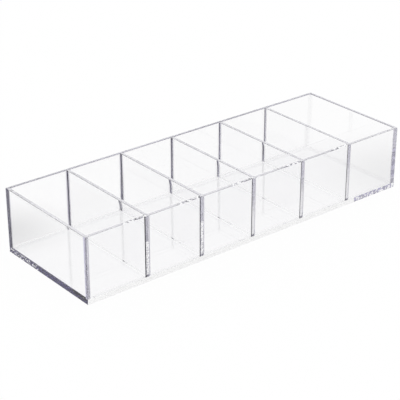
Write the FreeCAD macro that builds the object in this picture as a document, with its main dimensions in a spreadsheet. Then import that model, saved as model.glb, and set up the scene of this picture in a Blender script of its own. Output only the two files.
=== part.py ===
import FreeCAD, Part
import Sketcher
import os

# Clear vanity tray with a row of compartments, made from flat acrylic sheet.
# Every sheet is cut to a rectangle, its free edges are polished, and the sheets are cemented edge to face.
# The base carries all the walls, the two long walls run the full length, and the end walls and dividers fit
# between them. The two end compartments are a little wider than the inner ones, which are equal. Nothing on the
# tray moves.
# +X runs along the length, +Y across the width and +Z up. The origin is the middle of the underside.

# Driving dimensions in millimetres: name, value, meaning
SIZES = (
    ("tray_length", 360, "outside length over the end walls"),
    ("tray_width", 120, "outside width over the long walls"),
    ("tray_height", 62, "outside height from the underside to the rim"),
    ("base_sheet", 5, "thickness of the base sheet"),
    ("wall_sheet", 3, "thickness of the sheet that the four outer walls are cut from"),
    ("divider_sheet", 3, "thickness of the sheet that the dividers are cut from"),
    ("end_extra", 2.7, "how much wider an end compartment is than an inner one"),
    ("edge_polish", 0.4, "radius that flame polishing leaves along the free edges"),
    ("foot_bevel", 0.3, "bevel around the lower edge of the base"),
)
DIVIDER_COUNT = 5

# Sizes and places that follow from the driving ones, as expressions on the sheet of sizes
WALL_RISE = "(Sizes.tray_height - Sizes.base_sheet)"
INNER_WIDTH = "(Sizes.tray_width - 2 * Sizes.wall_sheet)"
INNER_LENGTH = "(Sizes.tray_length - 2 * Sizes.wall_sheet)"
FREE_LENGTH = f"({INNER_LENGTH} - {DIVIDER_COUNT} * Sizes.divider_sheet)"
COMPARTMENT = f"(({FREE_LENGTH} - 2 * Sizes.end_extra) / {DIVIDER_COUNT + 1})"
BASE_MIDDLE_Z = "Sizes.base_sheet / 2"
WALL_MIDDLE_Z = f"Sizes.base_sheet + {WALL_RISE} / 2"
LONG_WALL_Y = "(Sizes.tray_width - Sizes.wall_sheet) / 2"
END_WALL_X = "(Sizes.tray_length - Sizes.wall_sheet) / 2"


def make_sizes(doc):
    """Writes the driving dimensions into a spreadsheet, one named cell each."""
    sheet = doc.addObject("Spreadsheet::Sheet", "Sizes")
    for row, (name, value, meaning) in enumerate(SIZES, start=1):
        sheet.set(f"A{row}", name)
        sheet.set(f"B{row}", str(value))
        sheet.set(f"C{row}", meaning)
        sheet.setAlias(f"B{row}", name)
    doc.recompute()


def origin_plane(body, role):
    """The body's own origin plane with this role."""
    return next(item for item in body.Origin.OriginFeatures if item.Role == role)


def draw_rectangle(body, role, width, rise):
    """Sketches a rectangle centred on the body's origin, its two sides bound to expressions."""
    sketch = body.newObject("Sketcher::SketchObject", f"{body.Name}_outline")
    sketch.AttachmentSupport = [(origin_plane(body, role), "")]
    sketch.MapMode = "FlatFace"
    corners = [FreeCAD.Vector(x, y, 0) for x, y in ((-1, -1), (1, -1), (1, 1), (-1, 1))]
    for start, end in zip(corners, corners[1:] + corners[:1]):
        sketch.addGeometry(Part.LineSegment(start, end))
    bottom, right, top, left = range(len(corners))
    for side, following in ((bottom, right), (right, top), (top, left), (left, bottom)):
        sketch.addConstraint(Sketcher.Constraint("Coincident", side, 2, following, 1))
    for side in (bottom, top):
        sketch.addConstraint(Sketcher.Constraint("Horizontal", side))
    for side in (right, left):
        sketch.addConstraint(Sketcher.Constraint("Vertical", side))
    sketch.addConstraint(Sketcher.Constraint("Symmetric", bottom, 1, top, 1, -1, 1))
    for name, kind, side, size in (
        ("sheet_width", "DistanceX", bottom, width),
        ("sheet_rise", "DistanceY", right, rise),
    ):
        number = sketch.addConstraint(Sketcher.Constraint(kind, side, 1, side, 2, 1))
        sketch.renameConstraint(number, name)
        sketch.setExpression(f"Constraints.{name}", size)
    return sketch


def cut_sheet(doc, name, role, width, rise, thickness):
    """A flat sheet cut to a rectangle and centred on its own body's origin."""
    body = doc.addObject("PartDesign::Body", name)
    body.Label = name
    sketch = draw_rectangle(body, role, width, rise)
    pad = body.newObject("PartDesign::Pad", f"{name}_sheet")
    pad.Profile = sketch
    pad.Midplane = True
    pad.setExpression("Length", thickness)
    doc.recompute()
    return body


def is_upright(box):
    """True for an edge that stands up, given the box around it."""
    return box.ZLength > max(box.XLength, box.YLength)


def finish_edges(doc, body, kind, size_name, size, wanted):
    """Runs a fillet or a bevel of a named size along the edges whose boxes pass the test."""
    tip = body.Tip
    edges = [
        f"Edge{number}"
        for number, edge in enumerate(tip.Shape.Edges, start=1)
        if wanted(edge.BoundBox)
    ]
    feature = body.newObject(f"PartDesign::{kind}", f"{body.Name}_{kind.lower()}")
    feature.Base = (tip, edges)
    feature.setExpression(size_name, size)
    doc.recompute()


def polish(doc, body, wanted):
    """Rounds the free edges that pass the test, as a flame leaves them."""
    finish_edges(doc, body, "Fillet", "Radius", "Sizes.edge_polish", wanted)


def place(body, **places):
    """Binds the body's place along the named axes to expressions."""
    for axis, distance in places.items():
        body.setExpression(f"Placement.Base.{axis}", distance)


def base_panel(doc):
    """The full-size base: polished upright corners and a bevel round its lower edge."""
    length, width, thickness = "Sizes.tray_length", "Sizes.tray_width", "Sizes.base_sheet"
    body = cut_sheet(doc, "base_panel", "XY_Plane", length, width, thickness)
    polish(doc, body, is_upright)
    finish_edges(doc, body, "Chamfer", "Size", "Sizes.foot_bevel", lambda box: box.ZMax < 0)
    place(body, z=BASE_MIDDLE_Z)
    return body


def long_wall(doc, name, side):
    """A wall along the length, on the side that the sign gives, with a polished rim and outer corners."""
    body = cut_sheet(doc, name, "XZ_Plane", "Sizes.tray_length", WALL_RISE, "Sizes.wall_sheet")
    polish(doc, body, lambda box: box.ZMin > 0 or (is_upright(box) and box.YMin * side > 0))
    place(body, y=f"{side} * {LONG_WALL_Y}", z=WALL_MIDDLE_Z)
    return body


def cross_sheet(doc, name, thickness, x):
    """A sheet across the tray between the long walls, with its two long top edges polished."""
    body = cut_sheet(doc, name, "YZ_Plane", INNER_WIDTH, WALL_RISE, thickness)
    polish(doc, body, lambda box: box.ZMin > 0 and box.YLength > box.XLength)
    place(body, x=x, z=WALL_MIDDLE_Z)
    return body


def end_wall(doc, name, side):
    """A wall across the end of the tray that the sign gives."""
    return cross_sheet(doc, name, "Sizes.wall_sheet", f"{side} * {END_WALL_X}")


def divider(doc, number):
    """The divider with this number, counted from the left end, so that all inner compartments are equal."""
    from_left = f"Sizes.end_extra + {number} * {COMPARTMENT} + ({number} - 1 / 2) * Sizes.divider_sheet"
    x = f"{from_left} - {INNER_LENGTH} / 2"
    return cross_sheet(doc, f"divider_{number}", "Sizes.divider_sheet", x)


def build(doc):
    """Makes every sheet of the tray and returns the bodies."""
    make_sizes(doc)
    bodies = [
        base_panel(doc),
        long_wall(doc, "front_wall", -1),
        long_wall(doc, "back_wall", 1),
        end_wall(doc, "left_end_wall", -1),
        end_wall(doc, "right_end_wall", 1),
    ]
    bodies += [divider(doc, number) for number in range(1, DIVIDER_COUNT + 1)]
    doc.recompute()
    return bodies


def check(doc, bodies):
    """Stops the build if a feature failed or a sheet isn't one valid solid."""
    for item in doc.Objects:
        if "Invalid" in item.State or "Error" in item.State:
            raise RuntimeError(f"{item.Label} could not be made: {item.State}")
    for body in bodies:
        if body.Shape.isNull() or not body.Shape.isValid() or len(body.Shape.Solids) != 1:
            raise RuntimeError(f"{body.Label} is not one valid solid")


def write_parts(bodies):
    """Writes each sheet to a file of its own name and prints its size and volume."""
    os.makedirs("parts", exist_ok=True)
    for body in bodies:
        body.Shape.exportStep(f"parts/{body.Label}.step")
        box = body.Shape.BoundBox
        size = f"{box.XLength:.2f} x {box.YLength:.2f} x {box.ZLength:.2f}"
        print(f"{body.Label}: {size}, volume {body.Shape.Volume:.0f}, middle at x {box.Center.x:.2f}")


document = FreeCAD.newDocument("vanity_tray")
sheets = build(document)
check(document, sheets)
write_parts(sheets)
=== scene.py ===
"""Looks of a clear acrylic vanity tray: ten sheets, the cement between them, the studio and the camera.

Lengths are metres in the frame's own axes: +X along the tray, +Y from the front wall to the back one, +Z up.
Every sheet is rebuilt as one closed surface with the edge forms that light shows up in clear acrylic:
polished rims, a slight swelling under those of the cross sheets, and hollow beads of cement up the inside
corners. All the sheets share one material, and a number on each face tells its finish. Cemented faces are
drawn back by half a film's thickness and let light through, the back wall's from one side only. The feet of
the long walls and of the dividers are plain faces.
"""
import logging
import math
from dataclasses import dataclass, field
from enum import Enum, IntEnum

import bmesh
import bpy
import numpy as np
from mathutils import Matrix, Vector


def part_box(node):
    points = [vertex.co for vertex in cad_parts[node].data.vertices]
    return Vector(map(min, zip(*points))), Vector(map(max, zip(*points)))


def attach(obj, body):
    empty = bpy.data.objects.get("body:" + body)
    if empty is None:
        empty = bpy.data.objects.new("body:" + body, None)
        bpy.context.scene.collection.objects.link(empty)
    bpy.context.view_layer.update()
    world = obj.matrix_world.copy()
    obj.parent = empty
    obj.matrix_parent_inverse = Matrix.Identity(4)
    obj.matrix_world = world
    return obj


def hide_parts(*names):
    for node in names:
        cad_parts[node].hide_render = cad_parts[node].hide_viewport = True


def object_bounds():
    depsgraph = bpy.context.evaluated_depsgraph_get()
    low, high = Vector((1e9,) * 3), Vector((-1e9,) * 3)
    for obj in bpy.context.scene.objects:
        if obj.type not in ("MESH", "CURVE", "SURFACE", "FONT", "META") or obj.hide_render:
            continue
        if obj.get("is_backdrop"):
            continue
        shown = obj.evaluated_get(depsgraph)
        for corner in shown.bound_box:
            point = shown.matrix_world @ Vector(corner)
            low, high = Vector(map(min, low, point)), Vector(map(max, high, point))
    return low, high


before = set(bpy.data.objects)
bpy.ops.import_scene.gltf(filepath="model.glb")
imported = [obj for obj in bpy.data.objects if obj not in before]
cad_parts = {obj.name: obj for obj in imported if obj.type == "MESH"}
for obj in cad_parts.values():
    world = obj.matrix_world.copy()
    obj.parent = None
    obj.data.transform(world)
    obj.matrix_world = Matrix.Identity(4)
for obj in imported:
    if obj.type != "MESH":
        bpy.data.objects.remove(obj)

log = logging.getLogger("vanity_tray")

BODY = "root"
FINISH = "finish"
# How far a face's number may lie from a finish's own and still mean it
NUMBER_MARGIN = 0.5
# A face whose normal keeps less than this along every axis is on a round, a bevel or a bead
CURVED_BELOW = math.cos(math.radians(1))
# Part of a normal along an axis: over FACING the face looks along it, under ACROSS it is parallel to it
FACING = 0.9
ACROSS = 0.1

Colour = tuple[float, float, float]
Array = np.ndarray
Material = bpy.types.Material
Socket = bpy.types.NodeSocket
# What can feed an input of a node
Feed = Socket | float | tuple[float, ...]
WHITE: Colour = (1.0, 1.0, 1.0)


class Face(IntEnum):
    """How a face of a sheet is finished, as the number that the mesh keeps for it."""

    POLISHED = 0
    CEMENTED = 1
    CUT = 2
    SATIN = 3
    CATCHING = 4
    HAZY = 5
    FLECKED = 6
    SAWN = 7
    MENISCUS_SHADE = 8
    BUBBLED = 9
    CHIPPED = 10
    DASHED = 11
    CLOUDY = 12


class Side(Enum):
    """Which end of an axis something is at, as the sign of its place on it."""

    LOW = -1
    HIGH = 1

    @property
    def column(self) -> int:
        """The side's place in a pair of low and high."""
        return (self.value + 1) // 2


@dataclass(frozen=True)
class Bead:
    """A bead of cement along an inside corner.

    Attributes:
        leg: How far it reaches along each of the two faces it joins.
        steps: Straight pieces that its hollow is drawn with.
    """

    leg: float
    steps: int = 8

    def hollow(self, distance: Array) -> Array:
        """Height of the bead over a face at distances d from the other: leg - sqrt(leg^2 - (leg - d)^2)."""
        reach = self.leg - np.clip(distance, 0, self.leg)
        return self.leg - np.sqrt(self.leg**2 - reach**2)

    def stations(self) -> Array:
        """Distances from a face at which the bead is drawn, even along its quarter circle, up to the leg."""
        turn = np.linspace(0, math.pi / 2, self.steps + 1)
        return self.leg * (1 - np.cos(turn))


@dataclass(frozen=True)
class Rim:
    """The round that flame polishing leaves along a free edge.

    Attributes:
        radius: Radius of the round.
        steps: Straight pieces in a quarter turn.
    """

    radius: float = 4e-4
    steps: int = 6

    def turn(self) -> Array:
        """Angles along the quarter round, from its start to its end."""
        return np.linspace(0, math.pi / 2, self.steps + 1)

    def rise(self) -> Array:
        """Heights of the round's points over its start: radius * sin(angle)."""
        return self.radius * np.sin(self.turn())

    def inset(self) -> Array:
        """How far the round's points stand in from the face: radius * (1 - cos(angle))."""
        return self.radius * (1 - np.cos(self.turn()))


@dataclass(frozen=True)
class Bulge:
    """The slight swelling that a flame leaves under a rim, which bends what is seen through it.

    Attributes:
        rise: How far the face stands out at the top of the swelling.
        height: How far down the swelling reaches.
        steps: Straight pieces that it is drawn with.
    """

    rise: float = 3e-5
    height: float = 5e-3
    steps: int = 10

    def levels(self, top: float) -> Array:
        """Heights at which the swelling is drawn, up to the given top."""
        return np.linspace(top - self.height, top, self.steps + 1)

    def out(self, heights: Array, top: float) -> Array:
        """How far the face stands out at each height: rise * s^2, with s from 0 to 1 up the swelling."""
        share = np.clip((heights - top) / self.height + 1, 0, 1)
        return self.rise * share**2


@dataclass(frozen=True)
class Crossing:
    """A sheet that stands across the tray, between the long walls.

    Attributes:
        node: The frame's node for it.
        span: Its lowest and highest x.
        bead: The bead in its corners.
        beads: At the front and at the back, whether its low face and its high one along X have a bead.
        foot_cemented: Whether its foot is cemented to the base, or only stands on it.
        bubbled: Whether the cement of its front joint has bubbles low down.
    """

    node: str
    span: tuple[float, float]
    bead: Bead
    beads: tuple[tuple[bool, bool], tuple[bool, bool]] = ((True, True), (True, True))
    foot_cemented: bool = False
    bubbled: bool = False


# The dividers' beads get thinner from left to right, and the right back corner shows none
CROSS_SHEETS: dict[str, dict] = {
    "left_end_wall": {
        "bead": Bead(1.2e-3),
        "beads": ((False, True), (False, True)),
        "foot_cemented": True,
    },
    "divider_1": {"bead": Bead(1.25e-3), "bubbled": True},
    "divider_2": {"bead": Bead(1.1e-3), "bubbled": True},
    "divider_3": {"bead": Bead(9e-4)},
    "divider_4": {"bead": Bead(8e-4)},
    "divider_5": {"bead": Bead(7e-4)},
    "right_end_wall": {
        "bead": Bead(1.2e-3),
        "beads": ((True, False), (False, False)),
        "foot_cemented": True,
    },
}


@dataclass(frozen=True)
class Tray:
    """The tray's measures, read from the frame's own nodes."""

    low: Array
    high: Array
    floor: float
    wall: float
    crossings: tuple[Crossing, ...]

    @classmethod
    def from_frame(cls) -> "Tray":
        """Reads the base, the walls and every sheet that stands across the tray.

        Returns:
            The tray, with its cross sheets in order along X.
        """
        low, high = (np.array(corner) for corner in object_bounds())
        wall_low, wall_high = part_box("front_wall")
        crossings = []
        for node, details in CROSS_SHEETS.items():
            first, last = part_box(node)
            crossings.append(Crossing(node, (first[0], last[0]), **details))
        return cls(
            low=low,
            high=high,
            floor=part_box("base_panel")[1][2],
            wall=wall_high[1] - wall_low[1],
            crossings=tuple(sorted(crossings, key=lambda crossing: crossing.span)),
        )


def stack(levels: Array) -> tuple[Array, list[list[int]]]:
    """Joins closed outlines, one above the other, into a closed surface.

    Point j of outline i is vertex i * n + j. Each quad joins two neighbours of one outline to the same two
    of the next, and one flat face closes each end. The outlines run anticlockwise seen from above, so that
    the faces point outwards.

    Args:
        levels: Points of the outlines, shaped (outlines, points, 3), from the lowest up.

    Returns:
        The vertices and the faces.
    """
    rows, count = levels.shape[:2]
    row, column = np.meshgrid(np.arange(rows - 1), np.arange(count), indexing="ij")
    after = (column + 1) % count
    low, high = row * count, (row + 1) * count
    quads = np.stack([low + column, low + after, high + after, high + column], axis=-1).reshape(-1, 4)
    top = (rows - 1) * count + np.arange(count)
    return levels.reshape(-1, 3), [*quads.tolist(), np.arange(count)[::-1].tolist(), top.tolist()]


def cut_along(mesh: bpy.types.Mesh, cuts: list[tuple[float, int]]) -> None:
    """Cuts every face that crosses one of the planes, and keeps both sides.

    Args:
        mesh: The mesh.
        cuts: The planes, each as its place on an axis and the axis's number.
    """
    work = bmesh.new()
    work.from_mesh(mesh)
    for place, axis in cuts:
        point, normal = Vector((0, 0, 0)), Vector((0, 0, 0))
        point[axis], normal[axis] = place, 1
        everything = work.verts[:] + work.edges[:] + work.faces[:]
        bmesh.ops.bisect_plane(work, geom=everything, plane_co=point, plane_no=normal)
    work.to_mesh(mesh)
    work.free()


def face_centres(mesh: bpy.types.Mesh) -> tuple[Array, Array]:
    """Centres and normals of a mesh's faces.

    Args:
        mesh: The mesh.

    Returns:
        Two arrays shaped (faces, 3).
    """
    centres, normals = (np.empty(3 * len(mesh.polygons)) for _ in range(2))
    mesh.polygons.foreach_get("center", centres)
    mesh.polygons.foreach_get("normal", normals)
    return centres.reshape(-1, 3), normals.reshape(-1, 3)


@dataclass
class Sheet:
    """One sheet of the tray: what every kind of sheet shares.

    Attributes:
        node: The frame's node that the sheet stands for.
        tray: The tray's measures.
        film: Gap that each cemented pair of faces leaves, half on each side.
        rim: The round of its polished edges.
    """

    node: str
    tray: Tray
    film: float = 2e-5
    rim: Rim = field(default_factory=Rim)

    @property
    def back(self) -> float:
        """How far one cemented face is drawn back."""
        return self.film / 2

    def outlines(self) -> Array:
        """Closed outlines of the sheet, from the lowest up."""
        raise NotImplementedError

    def kinds(self, centre: Array, normal: Array) -> Array:
        """What each face is, as Face numbers, from its centre and normal."""
        raise NotImplementedError

    def score(self, mesh: bpy.types.Mesh) -> None:
        """Cuts faces along the edges of the joints, where the outlines don't. Most sheets need none."""

    def dress(self, mesh: bpy.types.Mesh, acrylic: Material) -> None:
        """Gives every face its finish, and smooth shading to those of a round, a bevel or a bead.

        Args:
            mesh: The sheet's mesh.
            acrylic: The tray's material.
        """
        centre, normal = face_centres(mesh)
        curved = np.abs(normal).max(axis=1) < CURVED_BELOW
        mesh.polygons.foreach_set("use_smooth", curved)
        finish = mesh.attributes.new(FINISH, "FLOAT", "FACE")
        finish.data.foreach_set("value", self.kinds(centre, normal).astype(np.float32))
        mesh.materials.append(acrylic)

    def build(self, acrylic: Material) -> bpy.types.Object:
        """Makes the sheet, dresses it and puts it in its node's place.

        Args:
            acrylic: The tray's material.

        Returns:
            The piece.
        """
        vertices, faces = stack(self.outlines())
        mesh = bpy.data.meshes.new(f"{self.node}_sheet")
        mesh.from_pydata(vertices, [], faces)
        self.score(mesh)
        self.dress(mesh, acrylic)
        piece = bpy.data.objects.new(f"{self.node}_sheet", mesh)
        bpy.context.scene.collection.objects.link(piece)
        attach(piece, BODY)
        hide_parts(self.node)
        return piece

    def levels(self) -> tuple[Array, Array]:
        """Heights of a standing sheet's outlines, and how far each stands in.

        Returns:
            A column of heights, and one of the insets.
        """
        foot = self.tray.floor + self.back
        heights = np.append(foot, self.bonded_height() + self.rim.rise())
        return heights[:, None], np.append(0.0, self.rim.inset())[:, None]

    def bonded_height(self) -> float:
        """The height up to which an upright joint is cemented: where the walls' rims begin to round."""
        return self.tray.high[2] - self.rim.radius


@dataclass
class CrossSheet(Sheet):
    """A divider or an end wall: a sheet across the tray, with beads along the upright edges of its ends.

    Attributes:
        crossing: Where it stands and where it has beads.
        bulge: The swelling under its rim, on the faces inside the tray.
    """

    crossing: Crossing = field(kw_only=True)
    bulge: Bulge = field(default_factory=Bulge)

    def levels(self) -> tuple[Array, Array]:
        """Heights of the outlines, with those of the swelling, and how far each stands in.

        Returns:
            A column of heights, and one of the insets.
        """
        heights, inset = super().levels()
        swelling = self.bulge.levels(self.bonded_height())[:-1, None]
        flat = np.zeros_like(swelling)
        return np.insert(heights, [1], swelling, axis=0), np.insert(inset, [1], flat, axis=0)

    def outlines(self) -> Array:
        """Outlines of a sheet whose faces swell into the beads.

        An outline runs along the face at the highest x and back along the other. A face stands out by
        Bead.hollow of its distance from the nearer long wall, and in by the rim's inset. Inside the tray it
        also stands out by the bulge, which fades into the beads.

        Returns:
            The outlines' points.
        """
        edge = self.tray.high[1] - self.tray.wall
        bead = self.crossing.bead
        near = edge - bead.stations()
        near[0] -= self.back
        along = np.concatenate([-near, near[::-1]])
        heights, inset = self.levels()
        swell = bead.hollow(edge - np.abs(along))
        bulge = self.bulge.out(heights, self.bonded_height()) * (1 - swell / bead.leg)
        levels = []
        for side, face in zip(Side, self.crossing.span):
            front, back = (ends[side.column] for ends in self.crossing.beads)
            beads = swell * np.where(along < 0, front, back)
            swollen = bulge * (abs(face) < self.tray.high[0])
            x = face + side.value * (beads + swollen - inset)
            levels.append(np.stack(np.broadcast_arrays(x, along, heights), axis=-1))
        low, high = levels
        return np.concatenate([high, low[:, ::-1]], axis=1)

    def kinds(self, centre: Array, normal: Array) -> Array:
        """Cements both ends up to the rims' rounds, and the foot of an end wall.

        Args:
            centre: Centres of the faces.
            normal: Their normals.

        Returns:
            Face numbers.
        """
        foot = (normal[:, 2] < -FACING) & self.crossing.foot_cemented
        ends = (np.abs(normal[:, 1]) > FACING) & (centre[:, 2] < self.bonded_height())
        ends &= np.abs(centre[:, 1]) > self.tray.high[1] - self.tray.wall - self.film
        hazy = (centre[:, 2] > self.bonded_height()) & (self.crossing.span[1] < self.tray.high[0])
        return np.where(foot | ends, Face.CEMENTED, np.where(hazy, Face.HAZY, Face.POLISHED))


@dataclass
class LongWall(Sheet):
    """The front or the back wall, cemented to the end of every sheet across the tray.

    Its foot isn't cemented. The back wall's joints keep what runs along the wall, which makes the dividers'
    back uprights dark.

    Attributes:
        side: Whether it is the front wall, at the low end of Y, or the back one.
        dashes: How far to the left of a divider the front rim is dashed.
    """

    side: Side = Side.LOW
    dashes: float = 0.024

    def spans(self) -> Array:
        """Spans along X of the sheets that end at this wall, shaped (sheets, 2)."""
        return np.array([crossing.span for crossing in self.tray.crossings])

    def joints(self) -> Array:
        """The same spans with the sheets' beads.

        Returns:
            An array shaped (sheets, 2).
        """
        crossings = self.tray.crossings
        beads = np.array([crossing.beads[self.side.column] for crossing in crossings])
        legs = np.array([[crossing.bead.leg] for crossing in crossings])
        return self.spans() + legs * beads * (-1, 1)

    def outlines(self) -> Array:
        """Outlines of a wall with its outer corners rounded, and points where each joint starts and stops.

        An outer corner is an arc about a fixed centre, of the rim's radius less the inset.

        Returns:
            The outlines' points.
        """
        tray, sign = self.tray, self.side.value
        heights, inset = self.levels()
        inner = sign * (tray.high[1] - tray.wall + self.back + inset)
        stations = np.unique([self.joints(), self.spans()])[1:-1]
        turn = self.rim.turn()
        radius = np.maximum(self.rim.radius - inset, self.back)
        arc_x = tray.high[0] - self.rim.radius + radius * np.cos(turn)
        arc_y = sign * (tray.high[1] - self.rim.radius + radius * np.sin(turn))
        end = tray.high[0] - inset
        rows, count = len(inset), len(stations)
        straight = np.broadcast_to(stations, (rows, count))
        x = np.concatenate([-end, straight, end, arc_x, -arc_x[:, ::-1]], axis=1)
        y = np.concatenate([np.broadcast_to(inner, (rows, count + 2)), arc_y, arc_y[:, ::-1]], axis=1)
        levels = np.stack(np.broadcast_arrays(x, y, heights), axis=-1)
        return levels if self.side is Side.HIGH else levels[:, ::-1]

    def score(self, mesh: bpy.types.Mesh) -> None:
        """Cuts the front wall's rim where its dashes start and end.

        Args:
            mesh: The wall's mesh.
        """
        if self.side is Side.LOW:
            dashed = self.spans()[1:-1, :1] - (self.dashes, 0)
            cut_along(mesh, [(place, 0) for place in dashed.flat])

    def kinds(self, centre: Array, normal: Array) -> Array:
        """Cements the inner face behind every cross sheet, and tells the cut ends and the front rim.

        Args:
            centre: Centres of the faces.
            normal: Their normals.

        Returns:
            Face numbers.
        """
        start, end = self.joints().T[:, :, None]
        along, rim = centre[:, 0], centre[:, 2] > self.bonded_height()
        inwards = (normal[:, 1] * self.side.value < -FACING) & ~rim
        joined = inwards & ((along > start) & (along < end)).any(axis=0)
        if self.side is Side.HIGH:
            kinds = np.where(joined, Face.CATCHING, Face.POLISHED)
            return np.where(normal[:, 0] < -FACING, Face.CUT, kinds)
        core_start, core_end = self.spans()[1:-1].T[:, :, None]
        before = along < core_start
        # Painted shade: the strip under the bead to the left of each divider's front joint
        meniscus_shade = joined & ((along > start[1:-1]) & before).any(axis=0)
        dashed = ((along > core_start - self.dashes) & before).any(axis=0)
        cores = joined & (along > core_start) & (along < core_end)
        bubbled = np.array([[crossing.bubbled] for crossing in self.tray.crossings[1:-1]])
        kinds = np.where(rim, np.where(dashed, Face.DASHED, Face.HAZY), Face.POLISHED)
        kinds = np.where(joined, Face.CEMENTED, kinds)
        kinds = np.where(cores.any(axis=0), Face.CLOUDY, kinds)
        kinds = np.where((cores & bubbled).any(axis=0), Face.BUBBLED, kinds)
        kinds = np.where(meniscus_shade, Face.MENISCUS_SHADE, kinds)
        return np.where(np.abs(normal[:, 0]) > FACING, Face.CUT, kinds)


@dataclass
class BasePanel(Sheet):
    """The base: a sheet with rounded corners and a bevelled foot, cemented to the end walls.

    Attributes:
        bevel: Width of the bevel round the lower edge.
        glossy_from: The x past which the long cut edges are only flecked, not satin.
        chipped_from: The y past which the left cut edge is chipped.
    """

    bevel: float = 3e-4
    glossy_from: float = 0.126
    chipped_from: float = 0.014

    def outlines(self) -> Array:
        """Outlines of a rectangle with rounded corners, with the bevel's inset at the foot only.

        Returns:
            The outlines' points.
        """
        tray, radius = self.tray, self.rim.radius
        heights = np.array([tray.low[2], tray.low[2] + self.bevel, tray.floor - self.back])
        inset = np.array([self.bevel, 0, 0])[:, None]
        quarter = self.rim.turn()
        turn = np.concatenate([quarter + number * math.pi / 2 for number in range(4)])
        signs_x, signs_y = (np.repeat(signs, len(quarter)) for signs in ((1, -1, -1, 1), (1, 1, -1, -1)))
        x = signs_x * (tray.high[0] - radius) + (radius - inset) * np.cos(turn)
        y = signs_y * (tray.high[1] - radius) + (radius - inset) * np.sin(turn)
        return np.stack([x, y, np.broadcast_to(heights[:, None], x.shape)], axis=-1)

    def inside(self) -> Array:
        """Half the length and half the width between the walls."""
        return self.tray.high[:2] - self.tray.wall

    def score(self, mesh: bpy.types.Mesh) -> None:
        """Cuts the faces along the walls' inner faces, and where the finish of an edge changes."""
        cuts = [(side.value * edge, axis) for axis, edge in enumerate(self.inside()) for side in Side]
        cut_along(mesh, [*cuts, (self.glossy_from, 0), (self.chipped_from, 1)])

    def kinds(self, centre: Array, normal: Array) -> Array:
        """Cements the top where the end walls stand, and tells the cut edges by their direction.

        Args:
            centre: Centres of the faces.
            normal: Their normals.

        Returns:
            Face numbers.
        """
        half_length, half_width = self.inside()
        stood_on = (np.abs(centre[:, 0]) > half_length) & (np.abs(centre[:, 1]) < half_width)
        upwards, upright = normal[:, 2] > FACING, np.abs(normal[:, 2]) < ACROSS
        long_edge = upright & (np.abs(normal[:, 1]) > FACING)
        kinds = np.where(upwards & stood_on, Face.CEMENTED, Face.POLISHED)
        left_end = np.where(centre[:, 1] < self.chipped_from, Face.SAWN, Face.CHIPPED)
        kinds = np.where(upright & (centre[:, 0] < 0), left_end, kinds)
        long_kinds = np.where(centre[:, 0] < self.glossy_from, Face.SATIN, Face.FLECKED)
        return np.where(long_edge, long_kinds, kinds)


class Nodes:
    """A short way to add nodes to a tree and link them."""

    def __init__(self, tree: bpy.types.NodeTree) -> None:
        """Keeps the tree that the nodes go into."""
        self.tree = tree

    def add(self, kind: str, inputs: dict | None = None, **settings: object) -> bpy.types.Node:
        """Adds a node, sets it up and feeds its inputs.

        Args:
            kind: The node's type.
            inputs: Values or sockets for its inputs, by name or number.
            **settings: Attributes of the node.

        Returns:
            The node.
        """
        node = self.tree.nodes.new(kind)
        for name, value in settings.items():
            setattr(node, name, value)
        for key, value in (inputs or {}).items():
            if isinstance(value, Socket):
                self.tree.links.new(value, node.inputs[key])
            else:
                node.inputs[key].default_value = value
        return node

    def math(self, operation: str, *values: Feed) -> Socket:
        """Result of a Math node on the given values or sockets."""
        return self.add("ShaderNodeMath", dict(enumerate(values)), operation=operation).outputs[0]

    def times(self, first: Feed, second: Feed) -> Socket:
        """Product of two values or sockets."""
        return self.math("MULTIPLY", first, second)

    def rest(self, share: Feed) -> Socket:
        """What a share leaves of 1."""
        return self.math("SUBTRACT", 1.0, share)

    def span(self, value: Feed, start: float, end: float, low: float = 0.0, high: float = 1.0) -> Socket:
        """Carries a value smoothly from low, at and before start, to high, at and past end."""
        inputs = {"Value": value, "From Min": start, "From Max": end, "To Min": low, "To Max": high}
        return self.add("ShaderNodeMapRange", inputs, interpolation_type="SMOOTHSTEP").outputs["Result"]

    def point(self) -> Socket:
        """Where the shaded point is, in the object's own axes."""
        return self.add("ShaderNodeTexCoord").outputs["Object"]

    def noise(self, point: Feed, scale: Feed, detail: float) -> Socket:
        """Level of a noise texture at a point."""
        return self.add("ShaderNodeTexNoise", {"Vector": point, "Scale": scale, "Detail": detail}).outputs[0]

    def bump(self, height: Socket) -> Socket:
        """Normal of a face with a bump of a height in metres."""
        return self.add("ShaderNodeBump", {"Height": height, "Distance": 1.0}).outputs[0]

    def blend(self, factor: Feed, first: Colour, second: Colour) -> Socket:
        """Colour that is the first one at a factor of 0 and the second at 1."""
        # The node takes colours at its inputs 6 and 7, and gives one at its output 2
        inputs = {0: factor, 6: (*first, 1), 7: (*second, 1)}
        return self.add("ShaderNodeMix", inputs, data_type="RGBA").outputs[2]

    def from_camera(self) -> Socket:
        """1 for a ray from the camera itself, and 0 for others."""
        return self.add("ShaderNodeLightPath").outputs["Is Camera Ray"]

    def from_inside(self) -> Socket:
        """1 where a face is met from inside the sheet, and 0 from outside."""
        return self.add("ShaderNodeNewGeometry").outputs["Backfacing"]

    def shiny(self) -> Socket:
        """1 for a ray off a glossy face or through a clear one, and 0 for others."""
        path = self.add("ShaderNodeLightPath").outputs
        return self.math("MAXIMUM", path["Is Glossy Ray"], path["Is Transmission Ray"])

    def transparent(self, share: Colour = WHITE) -> Socket:
        """Shader that lets a share of each colour straight through."""
        return self.add("ShaderNodeBsdfTransparent", {"Color": (*share, 1)}).outputs[0]

    def mix(self, factor: Feed, first: Feed, second: Feed) -> Socket:
        """Shader that is the first one at a factor of 0 and the second at 1."""
        return self.add("ShaderNodeMixShader", {0: factor, 1: first, 2: second}).outputs[0]


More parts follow.
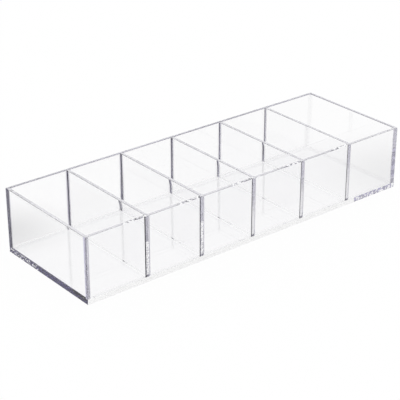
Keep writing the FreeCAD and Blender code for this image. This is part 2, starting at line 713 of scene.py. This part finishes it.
class EffectGroup:
    """A shader node group with named inputs and outputs, built once and placed in each material."""

    name = ""
    inputs: dict[str, float] = {}
    outputs: tuple[str, ...] = ()

    def __init__(self) -> None:
        """Makes the group, its sockets and its nodes."""
        self.tree = bpy.data.node_groups.new(self.name, "ShaderNodeTree")
        for socket, value in self.inputs.items():
            made = self.tree.interface.new_socket(socket, in_out="INPUT", socket_type="NodeSocketFloat")
            made.default_value = value
        for socket in self.outputs:
            self.tree.interface.new_socket(socket, in_out="OUTPUT", socket_type="NodeSocketFloat")
        nodes = Nodes(self.tree)
        given = nodes.add("NodeGroupInput").outputs
        results = self.wire(nodes, given)
        nodes.add("NodeGroupOutput", dict(zip(self.outputs, results)))

    def wire(self, nodes: Nodes, given: bpy.types.NodeOutputs) -> tuple[Socket, ...]:
        """Adds the group's own nodes to its tree, fed by its inputs. Gives a socket for each output."""
        raise NotImplementedError

    def place(self, nodes: Nodes, **values: float) -> bpy.types.NodeOutputs:
        """Places the group in a material, with the inputs that differ from its own. Gives its outputs."""
        named = {key.replace("_", " ").capitalize(): value for key, value in values.items()}
        return nodes.add("ShaderNodeGroup", named, node_tree=self.tree).outputs


class SheetWear(EffectGroup):
    """What handling leaves on clear sheet: hair scratches, soft smudges and the sheet's own slow wave.

    Scales are cells per metre, levels tell where a noise starts to count and counts in full.
    """

    name = "sheet_wear"
    inputs = {"Scratches": 1.0, "Smudges": 1.0}
    outputs = ("Roughness", "Height")
    smudge_scale, hair_scale, wave_scale = 28.0, 190.0, 17.0
    smudge_detail, hair_detail, wave_detail = 3.0, 2.0, 0.0
    smudge_levels, hair_levels = (0.52, 0.75), (0.66, 0.74)
    hair_turn, hair_stretch = (0.4, 0.9, 0.7), (9, 1, 1.6)
    smudge_roughness, hair_roughness = 0.03, 0.05
    wave_height, hair_depth = 6e-6, 4e-7

    def wire(self, nodes: Nodes, given: bpy.types.NodeOutputs) -> tuple[Socket, ...]:
        """Roughness from smudges and scratches, and a height from scratches and the wave.

        Args:
            nodes: The group's tree.
            given: The group's inputs.

        Returns:
            A socket for each output.
        """
        point = nodes.point()
        turned = {"Vector": point, "Rotation": self.hair_turn, "Scale": self.hair_stretch}
        drawn = nodes.add("ShaderNodeMapping", turned).outputs[0]
        smudge = nodes.span(nodes.noise(point, self.smudge_scale, self.smudge_detail), *self.smudge_levels)
        hair = nodes.span(nodes.noise(drawn, self.hair_scale, self.hair_detail), *self.hair_levels)
        smudges = nodes.times(smudge, given["Smudges"])
        scratches = nodes.times(hair, given["Scratches"])
        rubbed = nodes.times(smudges, self.smudge_roughness)
        scratched = nodes.times(scratches, self.hair_roughness)
        slow = nodes.noise(point, self.wave_scale, self.wave_detail)
        wave = nodes.times(slow, self.wave_height)
        height = nodes.math("SUBTRACT", wave, nodes.times(scratches, self.hair_depth))
        return nodes.math("ADD", rubbed, scratched), height


class EdgeRipple(EffectGroup):
    """What a saw and a flame leave on a cut edge: fine upright ripples of uneven strength, and flecks.

    Scales are cells per metre, levels tell where a noise starts to count and counts in full.
    """

    name = "edge_ripple"
    inputs = {"Depth": 1.0, "Flecks from": 0.6, "Fleck pitch": 900.0}
    outputs = ("Mask", "Height", "Flecks")
    ripple_scale, ripple_stretch, ripple_height = 900.0, (1, 1, 0.16), 3e-6
    patch_scale, patch_levels = 110.0, (0.4, 0.65)
    ripple_detail, patch_detail, fleck_detail = 2.0, 1.0, 1.0
    fleck_softness = 0.05

    def wire(self, nodes: Nodes, given: bpy.types.NodeOutputs) -> tuple[Socket, ...]:
        """Mask of the stronger ripples, their height, and where flecks stand past the given level.

        Args:
            nodes: The group's tree.
            given: The group's inputs.

        Returns:
            A socket for each output.
        """
        point = nodes.point()
        drawn = nodes.add("ShaderNodeMapping", {"Vector": point, "Scale": self.ripple_stretch})
        ripple = nodes.noise(drawn.outputs[0], self.ripple_scale, self.ripple_detail)
        patch = nodes.span(nodes.noise(point, self.patch_scale, self.patch_detail), *self.patch_levels)
        height = nodes.times(nodes.times(ripple, given["Depth"]), self.ripple_height)
        speckle = nodes.noise(point, given["Fleck pitch"], self.fleck_detail)
        past = nodes.math("SUBTRACT", speckle, given["Flecks from"])
        return nodes.times(patch, ripple), height, nodes.span(past, 0.0, self.fleck_softness)


class Effects:
    """The node groups that the finishes share."""

    def __init__(self) -> None:
        """Makes each group once."""
        self.wear = SheetWear()
        self.ripple = EdgeRipple()


def new_material(name: str) -> tuple[Material, Nodes, bpy.types.Node]:
    """Makes a material with nothing on its output.

    Args:
        name: The material's name.

    Returns:
        The material, its nodes and the output.
    """
    material = bpy.data.materials.new(name)
    material.use_nodes = True
    tree = material.node_tree
    tree.nodes.remove(tree.nodes["Principled BSDF"])
    return material, Nodes(tree), tree.nodes["Material Output"]


@dataclass(frozen=True)
class Finish:
    """One way in which a face of the tray is finished.

    Attributes:
        ior: Refractive index of acrylic.
    """

    ior: float = 1.49

    def shader(self, nodes: Nodes, effects: Effects) -> Socket:
        """Adds the finish's shader to a material's tree, with the shared effects. Gives its socket."""
        raise NotImplementedError

    def clear(
        self, nodes: Nodes, roughness: Socket, height: Socket | None = None, tint: Colour = WHITE
    ) -> Socket:
        """Adds the shader of clear acrylic.

        Args:
            nodes: The material's tree.
            roughness: The roughness.
            height: The bump's height, or None for a flat face.
            tint: Share of each colour that two crossings leave.

        Returns:
            The shader's socket.
        """
        inputs = {"Base Color": (*tint, 1), "IOR": self.ior, "Roughness": roughness}
        inputs["Transmission Weight"] = 1.0
        if height is not None:
            inputs["Normal"] = nodes.bump(height)
        return nodes.add("ShaderNodeBsdfPrincipled", inputs).outputs[0]

    def frosted(
        self, nodes: Nodes, colour: Feed, roughness: Feed, height: Socket, gloss: float = 0.5
    ) -> Socket:
        """Adds the shader of a matt face, with the height of its bump and the strength of its shine."""
        inputs = {"Base Color": colour, "Roughness": roughness, "Normal": nodes.bump(height)}
        return nodes.add("ShaderNodeBsdfPrincipled", {**inputs, "Specular IOR Level": gloss}).outputs[0]

    def mixed(self, nodes: Nodes, share: Feed, matt: Socket, clear: Socket) -> Socket:
        """Shows a share of the matt shader on the outside of a face, and only the clear one from inside."""
        outside = nodes.rest(nodes.from_inside())
        return nodes.mix(nodes.times(outside, share), clear, matt)


@dataclass(frozen=True)
class Pressed(Finish):
    """The sheet's own face as it leaves the press: clear, glossy, faintly handled.

    Attributes:
        scratches: Strength of the hair scratches.
        smudges: Strength of the smudges.
    """

    scratches: float = 0.5
    smudges: float = 0.5

    def shader(self, nodes: Nodes, effects: Effects) -> Socket:
        """Clear acrylic with the wear on it."""
        worn = effects.wear.place(nodes, scratches=self.scratches, smudges=self.smudges)
        return self.clear(nodes, worn["Roughness"], worn["Height"])


@dataclass(frozen=True)
class CutEdge(Finish):
    """A cut edge, rippled, hazy and flecked with chips that stay white.

    Attributes:
        tint: Share of each colour that two crossings leave.
        scratches: Strength of the hair scratches.
        sawn_roughness: Roughness of the strongest ripples.
        haze: Share of matt white over all of it.
        flecks_from: Level of the noise past which a chip shows.
        fleck_pitch: Scale of their noise.
        fleck_colour: Their colour.
        fleck_roughness: Their roughness.
    """

    tint: Colour = (0.8, 0.78, 0.97)
    scratches: float = 0.3
    sawn_roughness: float = 0.1
    haze: float = 0.0
    flecks_from: float = 0.66
    fleck_pitch: float = 900.0
    fleck_colour: Colour = (0.97, 0.97, 0.98)
    fleck_roughness: float = 0.4

    def shader(self, nodes: Nodes, effects: Effects) -> Socket:
        """Clear acrylic, rougher and rippled in patches, with matt chips.

        Args:
            nodes: The material's tree.
            effects: The shared effects.

        Returns:
            The shader's socket.
        """
        worn = effects.wear.place(nodes, scratches=self.scratches)
        sawn = effects.ripple.place(nodes, flecks_from=self.flecks_from, fleck_pitch=self.fleck_pitch)
        ripples = nodes.times(sawn["Mask"], self.sawn_roughness)
        rough = nodes.math("ADD", ripples, worn["Roughness"])
        clear = self.clear(nodes, rough, sawn["Height"], self.tint)
        chips = self.frosted(nodes, (*self.fleck_colour, 1), self.fleck_roughness, sawn["Height"])
        return self.mixed(nodes, nodes.math("MAXIMUM", sawn["Flecks"], self.haze), chips, clear)


@dataclass(frozen=True)
class SatinEdge(Finish):
    """A cut edge that was trimmed flush after gluing and left satin white.

    Attributes:
        pale: Colour of the even stretches.
        dull: Colour of the cutter's ripples.
        roughness: Roughness of the satin.
        ripple: Depth of the cutter's ripples, as a share of the saw's.
        gloss: Strength of the satin's shine.
    """

    pale: Colour = (0.998, 0.998, 0.998)
    dull: Colour = (0.99, 0.99, 0.992)
    roughness: float = 0.45
    ripple: float = 0.1
    gloss: float = 0.1

    def shader(self, nodes: Nodes, effects: Effects) -> Socket:
        """Satin white over clear acrylic.

        Args:
            nodes: The material's tree.
            effects: The shared effects.

        Returns:
            The shader's socket.
        """
        worn, sawn = effects.wear.place(nodes), effects.ripple.place(nodes, depth=self.ripple)
        colour = nodes.blend(sawn["Mask"], self.pale, self.dull)
        rough = nodes.math("ADD", self.roughness, worn["Roughness"])
        satin = self.frosted(nodes, colour, rough, sawn["Height"], self.gloss)
        return self.mixed(nodes, 1.0, satin, self.clear(nodes, worn["Roughness"]))


@dataclass(frozen=True)
class Cemented(Finish):
    """A cemented face: solvent has made both sheets one, so light goes straight through.

    Attributes:
        share: Share of each colour that gets through. A low share is painted shade, the dark line that the
            hollow of cement at a joint's edge shows.
    """

    share: Colour = WHITE

    def shader(self, nodes: Nodes, effects: Effects) -> Socket:
        """Transparency that leaves the share."""
        return nodes.transparent(self.share)


@dataclass(frozen=True)
class Bubbled(Finish):
    """A cemented face with bubbles in the cement, which are air gaps and so mirror what is in front.

    Attributes:
        colour: Share of each colour that a bubble mirrors.
        roughness: Their roughness.
        flecks_from: Level of the noise past which a bubble shows.
        foam: Share that bubbles too small to see mirror.
        full_below: Height up to which they are densest.
        none_above: Height past which there are none.
    """

    colour: Colour = (0.98, 0.98, 0.98)
    roughness: float = 0.15
    flecks_from: float = 0.46
    foam: float = 0.3
    full_below: float = 0.037
    none_above: float = 0.038

    def shader(self, nodes: Nodes, effects: Effects) -> Socket:
        """Mirroring bubbles, and plain transparency between them.

        Args:
            nodes: The material's tree.
            effects: The shared effects.

        Returns:
            The shader's socket.
        """
        flecks = effects.ripple.place(nodes, flecks_from=self.flecks_from)["Flecks"]
        inputs = {"Base Color": (*self.colour, 1), "Metallic": 1.0, "Roughness": self.roughness}
        mirror = nodes.add("ShaderNodeBsdfPrincipled", inputs).outputs[0]
        height = nodes.add("ShaderNodeSeparateXYZ", {0: nodes.point()}).outputs["Z"]
        dense = nodes.span(height, self.full_below, self.none_above, 1.0, 0.0)
        share = nodes.times(nodes.math("MAXIMUM", flecks, self.foam), dense)
        return nodes.mix(share, nodes.transparent(), mirror)


@dataclass(frozen=True)
class Catching(Finish):
    """A cemented face that lets light in, and keeps what meets it from inside."""

    def shader(self, nodes: Nodes, effects: Effects) -> Socket:
        """Plain transparency from outside, clear acrylic from inside."""
        inside = self.clear(nodes, effects.wear.place(nodes)["Roughness"])
        return nodes.mix(nodes.from_inside(), nodes.transparent(), inside)


@dataclass(frozen=True)
class CastAcrylic:
    """Clear cast acrylic, with all its finishes in one material.

    Light counts as inside a sheet from where it enters until it leaves through the same material, so a
    sheet whose inside takes up light has one material, and each face's number tells its finish. Of each
    colour exp(-density * (1 - colour) * d) is left after d metres inside, which makes long paths violet.

    Attributes:
        density: Strength of the absorption, per metre.
        colour: What the absorption spares of red, green and blue.
        finishes: The finish for each number.
    """

    density: float = 5.0
    colour: Colour = (0.04, 0.01, 0.2)
    finishes: tuple[tuple[Face, Finish], ...] = (
        (Face.POLISHED, Pressed()),
        (Face.CUT, CutEdge()),
        (Face.SATIN, SatinEdge()),
        (Face.HAZY, CutEdge(tint=WHITE, haze=0.3, flecks_from=0.62)),
        (Face.DASHED, CutEdge(tint=WHITE, flecks_from=0.5, fleck_pitch=260.0)),
        (Face.FLECKED, CutEdge(tint=(0.85, 0.83, 1.0), haze=0.05, flecks_from=0.5, fleck_pitch=420.0)),
        (Face.SAWN, CutEdge(tint=(0.2, 0.15, 0.5), flecks_from=0.68)),
        (Face.CHIPPED, CutEdge(tint=(0.2, 0.15, 0.5), flecks_from=0.54, fleck_pitch=600.0)),
        (Face.CEMENTED, Cemented()),
        (Face.CATCHING, Catching()),
        # Painted shade: the strip under the cement's hollow beside a divider's front joint lets only a tenth
        # of the light through
        (Face.MENISCUS_SHADE, Cemented(share=(0.1, 0.1, 0.12))),
        (Face.BUBBLED, Bubbled()),
        (Face.CLOUDY, Bubbled(flecks_from=0.7, foam=0.65, full_below=0.02, none_above=0.05)),
    )

    def build(self) -> Material:
        """Makes the material, in which each face's number picks its finish.

        Returns:
            The material.
        """
        material, nodes, output = new_material("clear_cast_acrylic")
        effects = Effects()
        number = nodes.add("ShaderNodeAttribute", attribute_name=FINISH).outputs["Fac"]
        (_, first), *others = self.finishes
        surface = first.shader(nodes, effects)
        for face, finish in others:
            chosen = nodes.math("COMPARE", number, float(face), NUMBER_MARGIN)
            surface = nodes.mix(chosen, surface, finish.shader(nodes, effects))
        nodes.tree.links.new(surface, output.inputs["Surface"])
        inputs = {"Color": (*self.colour, 1), "Density": self.density}
        absorption = nodes.add("ShaderNodeVolumeAbsorption", inputs).outputs[0]
        nodes.tree.links.new(absorption, output.inputs["Volume"])
        return material


@dataclass(frozen=True)
class Flag:
    """A darker stretch of the studio beside the table, which clear edges pick up.

    Attributes:
        azimuth: Direction of its middle, in degrees from +X towards +Y.
        half_width: Half its width, in degrees.
        low: Elevation of its lower edge, in degrees.
        high: Elevation of its upper edge, in degrees.
        strength: Share of the white that it takes away.
        soft: Half the width of its blurred edge, in degrees.
    """

    azimuth: float
    half_width: float
    low: float
    high: float
    strength: float
    soft: float = 4.0

    def mask(self, nodes: Nodes, azimuth: Feed, elevation: Feed) -> Socket:
        """Where the flag stands: 1 on it and 0 off it.

        Args:
            nodes: The world's tree.
            azimuth: Direction of the ray, in radians.
            elevation: Its elevation, in radians.

        Returns:
            The mask's socket, times the flag's strength.
        """
        angles = (self.azimuth, self.half_width, self.low, self.high, self.soft)
        middle, half, low, high, soft = map(math.radians, angles)
        off = nodes.math("ARCCOSINE", nodes.math("COSINE", nodes.math("SUBTRACT", azimuth, middle)))
        beside = nodes.span(off, half - soft, half + soft, 1.0, 0.0)
        above = nodes.span(elevation, low - soft, low + soft)
        below = nodes.span(elevation, high - soft, high + soft, 1.0, 0.0)
        inside = nodes.times(beside, nodes.times(above, below))
        return nodes.times(inside, self.strength)


@dataclass(frozen=True)
class Shade:
    """A soft shadow of the tray, painted on the table as a darker patch, which shows only through clear
    faces.

    Attributes:
        place: Its middle.
        radius: How far it reaches.
        strength: Share of the white that its middle takes away.
    """

    place: tuple[float, float]
    radius: float
    strength: float

    def mask(self, nodes: Nodes, point: Socket) -> Socket:
        """The painted shadow's strength at a point on the table, falling off from its middle."""
        away = nodes.add("ShaderNodeVectorMath", {0: point, 1: (*self.place, 0)}, operation="DISTANCE")
        return nodes.span(away.outputs["Value"], 0.0, self.radius, self.strength, 0.0)


@dataclass(frozen=True)
class Studio:
    """A white table under soft light, with a darker stretch on each side that defines clear edges.

    Attributes:
        table_size: Side of the table.
        table_drop: How far the table lies below the tray's underside.
        table_shown: Share of plain white in what the table shows. The rest keeps the tray's shadow.
        table_shown_clear: The same, for what shows through the sheets.
        table_albedo: Share of light that it sends back.
        shades: Shadows of the tray, painted on the table as darker patches.
        light: Strength of the surrounding light.
        flags: The darker stretches.
        flag_colour: Their colour.
    """

    table_size: float = 6.0
    table_drop: float = 4e-4
    table_shown: float = 0.97
    table_shown_clear: float = 0.99
    table_albedo: float = 0.98
    shades: tuple[Shade, ...] = (
        Shade(place=(-0.16, 0.098), radius=0.075, strength=0.24),
        Shade(place=(0.215, -0.04), radius=0.12, strength=0.14),
    )
    light: float = 1.0
    flags: tuple[Flag, ...] = (
        Flag(azimuth=-48, half_width=42, low=10, high=55, strength=1.0),
        Flag(azimuth=132, half_width=42, low=10, high=55, strength=0.3),
    )
    flag_colour: Colour = (0.06, 0.055, 0.09)

    def build(self) -> None:
        """Makes the table and the surrounding light."""
        self.table()
        self.surroundings()

    def table(self) -> None:
        """A table whose white shows to the camera and through clear faces, and keeps a soft shadow. Through
        clear faces it also shows the tray's painted shadows.
        """
        half, drop = self.table_size / 2, -self.table_drop
        corners = half * np.array([(-1, -1), (1, -1), (1, 1), (-1, 1)])
        mesh = bpy.data.meshes.new("table")
        mesh.from_pydata(np.column_stack([corners, np.full(len(corners), drop)]), [], [[0, 1, 2, 3]])
        material, nodes, output = new_material("white_table")
        inputs = {"Base Color": (*[self.table_albedo] * 3, 1), "Roughness": 1.0, "Specular IOR Level": 0.0}
        shader = nodes.add("ShaderNodeBsdfPrincipled", inputs)
        point = nodes.point()
        # Painted shadow of the tray, which only rays through or off the sheets see
        painted_shadow = 0.0
        for shade in self.shades:
            painted_shadow = nodes.math("ADD", painted_shadow, shade.mask(nodes, point))
        through = nodes.rest(nodes.from_camera())
        white = nodes.rest(nodes.times(painted_shadow, through))
        glow = nodes.add("ShaderNodeEmission", {"Color": (1, 1, 1, 1), "Strength": white})
        camera = nodes.times(nodes.from_camera(), self.table_shown)
        share = nodes.math("MAXIMUM", camera, nodes.times(nodes.shiny(), self.table_shown_clear))
        surface = nodes.mix(share, shader.outputs[0], glow.outputs[0])
        nodes.tree.links.new(surface, output.inputs["Surface"])
        mesh.materials.append(material)
        table = bpy.data.objects.new("table", mesh)
        bpy.context.scene.collection.objects.link(table)
        table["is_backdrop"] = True

    def surroundings(self) -> None:
        """White light from all round, and for glossy and clear faces the flags as well."""
        world = bpy.data.worlds.new("studio")
        bpy.context.scene.world = world
        world.use_nodes = True
        nodes = Nodes(world.node_tree)
        plain = world.node_tree.nodes["Background"]
        plain.inputs["Color"].default_value = (1, 1, 1, 1)
        plain.inputs["Strength"].default_value = self.light
        way = nodes.add("ShaderNodeTexCoord").outputs["Generated"]
        x, y, z = nodes.add("ShaderNodeSeparateXYZ", {0: way}).outputs
        azimuth, elevation = nodes.math("ARCTAN2", y, x), nodes.math("ARCSINE", z)
        masks = [flag.mask(nodes, azimuth, elevation) for flag in self.flags]
        dark = masks[0]
        for mask in masks[1:]:
            dark = nodes.math("MAXIMUM", dark, mask)
        shade = nodes.blend(dark, WHITE, self.flag_colour)
        flagged = nodes.add("ShaderNodeBackground", {"Color": shade, "Strength": 1.0})
        surface = nodes.mix(nodes.shiny(), plain.outputs[0], flagged.outputs[0])
        nodes.tree.links.new(surface, world.node_tree.nodes["World Output"].inputs["Surface"])


@dataclass(frozen=True)
class Viewpoint:
    """The photograph's camera.

    Attributes:
        place: Where it stands.
        azimuth: Direction it looks in, in degrees from +X towards +Y.
        dip: How far it looks down, in degrees.
        frame_width: Width of the picture in pixels.
        focal_pixels: Focal length in the same pixels.
        bounces: Turns that light may take, because it runs down a sheet's whole length.
    """

    place: tuple[float, float, float] = (-0.69645, -0.83912, 0.54381)
    azimuth: float = 50.85
    dip: float = 25.74
    frame_width: int = 400
    focal_pixels: float = 1317.4
    bounces: int = 160

    def build(self) -> None:
        """Makes the camera and sets how colours are shown."""
        lens = bpy.data.cameras.new("photo_camera")
        lens.lens = lens.sensor_width * self.focal_pixels / self.frame_width
        camera = bpy.data.objects.new("photo_camera", lens)
        azimuth, dip = math.radians(self.azimuth), math.radians(self.dip)
        level = math.cos(dip)
        ahead = Vector((level * math.cos(azimuth), level * math.sin(azimuth), -math.sin(dip)))
        camera.location = self.place
        camera.rotation_euler = ahead.to_track_quat("-Z", "Y").to_euler()
        scene = bpy.context.scene
        scene.collection.objects.link(camera)
        scene.camera = camera
        scene.view_settings.view_transform = "Standard"
        cycles = scene.cycles
        cycles.max_bounces = cycles.glossy_bounces = cycles.transmission_bounces = self.bounces
        cycles.transparent_max_bounces = self.bounces


def sheets(tray: Tray) -> list[Sheet]:
    """Every sheet of the tray, in the order in which it is put together.

    Args:
        tray: The tray's measures.

    Returns:
        The sheets, not yet built.
    """
    found: list[Sheet] = [
        BasePanel("base_panel", tray),
        LongWall("front_wall", tray, side=Side.LOW),
        LongWall("back_wall", tray, side=Side.HIGH),
    ]
    return found + [CrossSheet(crossing.node, tray, crossing=crossing) for crossing in tray.crossings]


def main() -> None:
    """Builds the tray, the studio and the camera."""
    logging.basicConfig(level=logging.INFO, format="%(name)s: %(message)s")
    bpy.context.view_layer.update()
    tray = Tray.from_frame()
    acrylic = CastAcrylic().build()
    for sheet in sheets(tray):
        piece = sheet.build(acrylic)
        log.info("%s: %d faces", piece.name, len(piece.data.polygons))
    Studio().build()
    Viewpoint().build()


if __name__ == "__main__":
    main()
